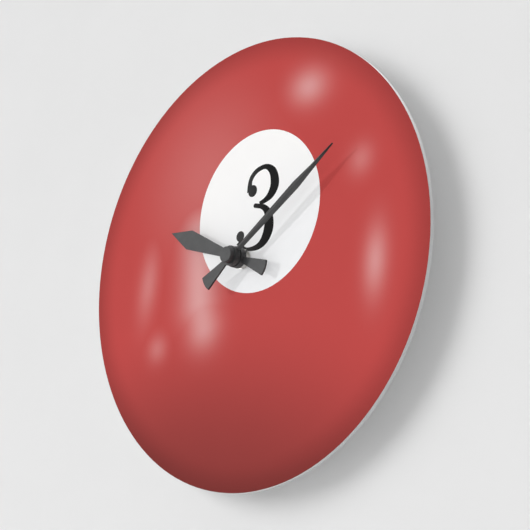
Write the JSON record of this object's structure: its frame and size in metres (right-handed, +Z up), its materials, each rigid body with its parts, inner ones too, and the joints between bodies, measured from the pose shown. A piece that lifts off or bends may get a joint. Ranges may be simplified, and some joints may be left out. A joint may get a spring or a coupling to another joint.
{
  "type": "wall clock",
  "caption": "Round flat acrylic wall clock printed as a red pool ball with a number 3, with two dark hands and a battery quartz movement behind the dial.",
  "frame": {"origin": "the point of the movement's rear face that lies on the hands' axis, in the wall plane", "axes": "+Z up, -Y out of the wall towards the viewer (the dial faces -Y), +X to the right seen from the front"},
  "size_m": [0.273, 0.0351, 0.273],
  "materials": {
    "acrylic": "clear-to-white polished acrylic sheet, slightly milky at the cut edge",
    "print_red": "satin printed film, red shaded like a ball, with soft pale highlights",
    "print_white": "satin printed film, plain white",
    "print_black": "satin printed film, black",
    "rubber_black": "matte black sheet rubber",
    "nickel": "dull nickel plate on turned brass",
    "hand_paint": "stamped aluminium with a dark grey satin enamel",
    "case_plastic": "black moulded plastic with a fine spark texture",
    "knob_plastic": "grey moulded plastic",
    "gear_plastic": "natural white acetal",
    "gear_red": "orange-red acetal",
    "arbor_brass": "turned brass",
    "magnet": "dark sintered magnet",
    "lamination": "bare magnetic sheet steel",
    "bobbin_plastic": "white moulded plastic",
    "copper": "enamelled copper wire",
    "board": "phenolic board with a green mask",
    "epoxy": "black potting resin",
    "can_metal": "drawn metal can",
    "spring_steel": "tin-plated spring strip",
    "screw_steel": "zinc-plated steel",
    "cell_metal": "nickel-plated steel can",
    "cell_sleeve": "plain shrink sleeve in two colours"
  },
  "bodies": {
    "movement": {"dial_disc": "acrylic", "printed_face": "print_red", "number_disc": "print_white", "numeral": "print_black", "rubber_washer": "rubber_black", "front_washer": "nickel", "clamp_nut": "nickel", "threaded_bushing": "nickel", "front_case": "case_plastic", "rear_case": "case_plastic", "train_bridge": "gear_plastic", "stator": "lamination", "coil_core": "lamination", "coil_bobbin": "bobbin_plastic", "coil_winding": "copper", "motor_screws": "screw_steel", "circuit_board": "board", "chip_cover": "epoxy", "quartz_can": "can_metal", "contact_positive": "spring_steel", "contact_negative": "spring_steel"},
    "minute_group": {"minute_arbor": "arbor_brass", "centre_wheel": "gear_plastic", "minute_hand": "hand_paint", "cap_nut": "hand_paint"},
    "hour_group": {"hour_wheel": "gear_plastic", "hour_hand": "hand_paint"},
    "motion_gear": {"motion_wheel": "gear_plastic"},
    "knob": {"setting_knob": "knob_plastic"},
    "third_gear": {"third_wheel": "gear_plastic"},
    "seconds_gear": {"seconds_wheel": "gear_plastic"},
    "fifth_gear": {"fifth_wheel": "gear_plastic"},
    "rotor": {"rotor_pinion": "gear_red", "rotor_magnet": "magnet"},
    "battery": {"battery_cell": "cell_metal", "battery_sleeve": "cell_sleeve"}
  },
  "joints": [
    {"name": "minute_turn", "type": "hinge", "parent": "movement", "child": "minute_group", "pos_m": [0, 0, 0], "axis": [0, 1, 0], "continuous": true},
    {"name": "hour_turn", "type": "hinge", "parent": "movement", "child": "hour_group", "pos_m": [0, 0, 0], "axis": [0, 1, 0], "continuous": true},
    {"name": "motion_turn", "type": "hinge", "parent": "movement", "child": "motion_gear", "pos_m": [0.00789, 0, -0.00287], "axis": [0, 1, 0], "continuous": true},
    {"name": "knob_turn", "type": "hinge", "parent": "movement", "child": "knob", "pos_m": [0.01617, 0, -0.00433], "axis": [0, 1, 0], "continuous": true},
    {"name": "third_turn", "type": "hinge", "parent": "movement", "child": "third_gear", "pos_m": [-0.00883, 0, 0.0051], "axis": [0, 1, 0], "continuous": true},
    {"name": "seconds_turn", "type": "hinge", "parent": "movement", "child": "seconds_gear", "pos_m": [0, 0, 0], "axis": [0, 1, 0], "continuous": true},
    {"name": "fifth_turn", "type": "hinge", "parent": "movement", "child": "fifth_gear", "pos_m": [0.00504, 0, 0.00873], "axis": [0, 1, 0], "continuous": true},
    {"name": "rotor_turn", "type": "hinge", "parent": "movement", "child": "rotor", "pos_m": [0.01204, 0, 0.00873], "axis": [0, 1, 0], "continuous": true},
    {"name": "battery_slide", "type": "slide", "parent": "movement", "child": "battery", "axis": [0, 1, 0], "range_m": [0, 0.03]}
  ],
  "couplings": [
    {"joint": "hour_turn", "follows": "minute_turn", "ratio": 0.083333},
    {"joint": "motion_turn", "follows": "minute_turn", "ratio": -0.33333},
    {"joint": "knob_turn", "follows": "minute_turn", "ratio": 1},
    {"joint": "third_turn", "follows": "minute_turn", "ratio": -8},
    {"joint": "seconds_turn", "follows": "minute_turn", "ratio": 60},
    {"joint": "fifth_turn", "follows": "minute_turn", "ratio": -300},
    {"joint": "rotor_turn", "follows": "minute_turn", "ratio": 1800}
  ]
}
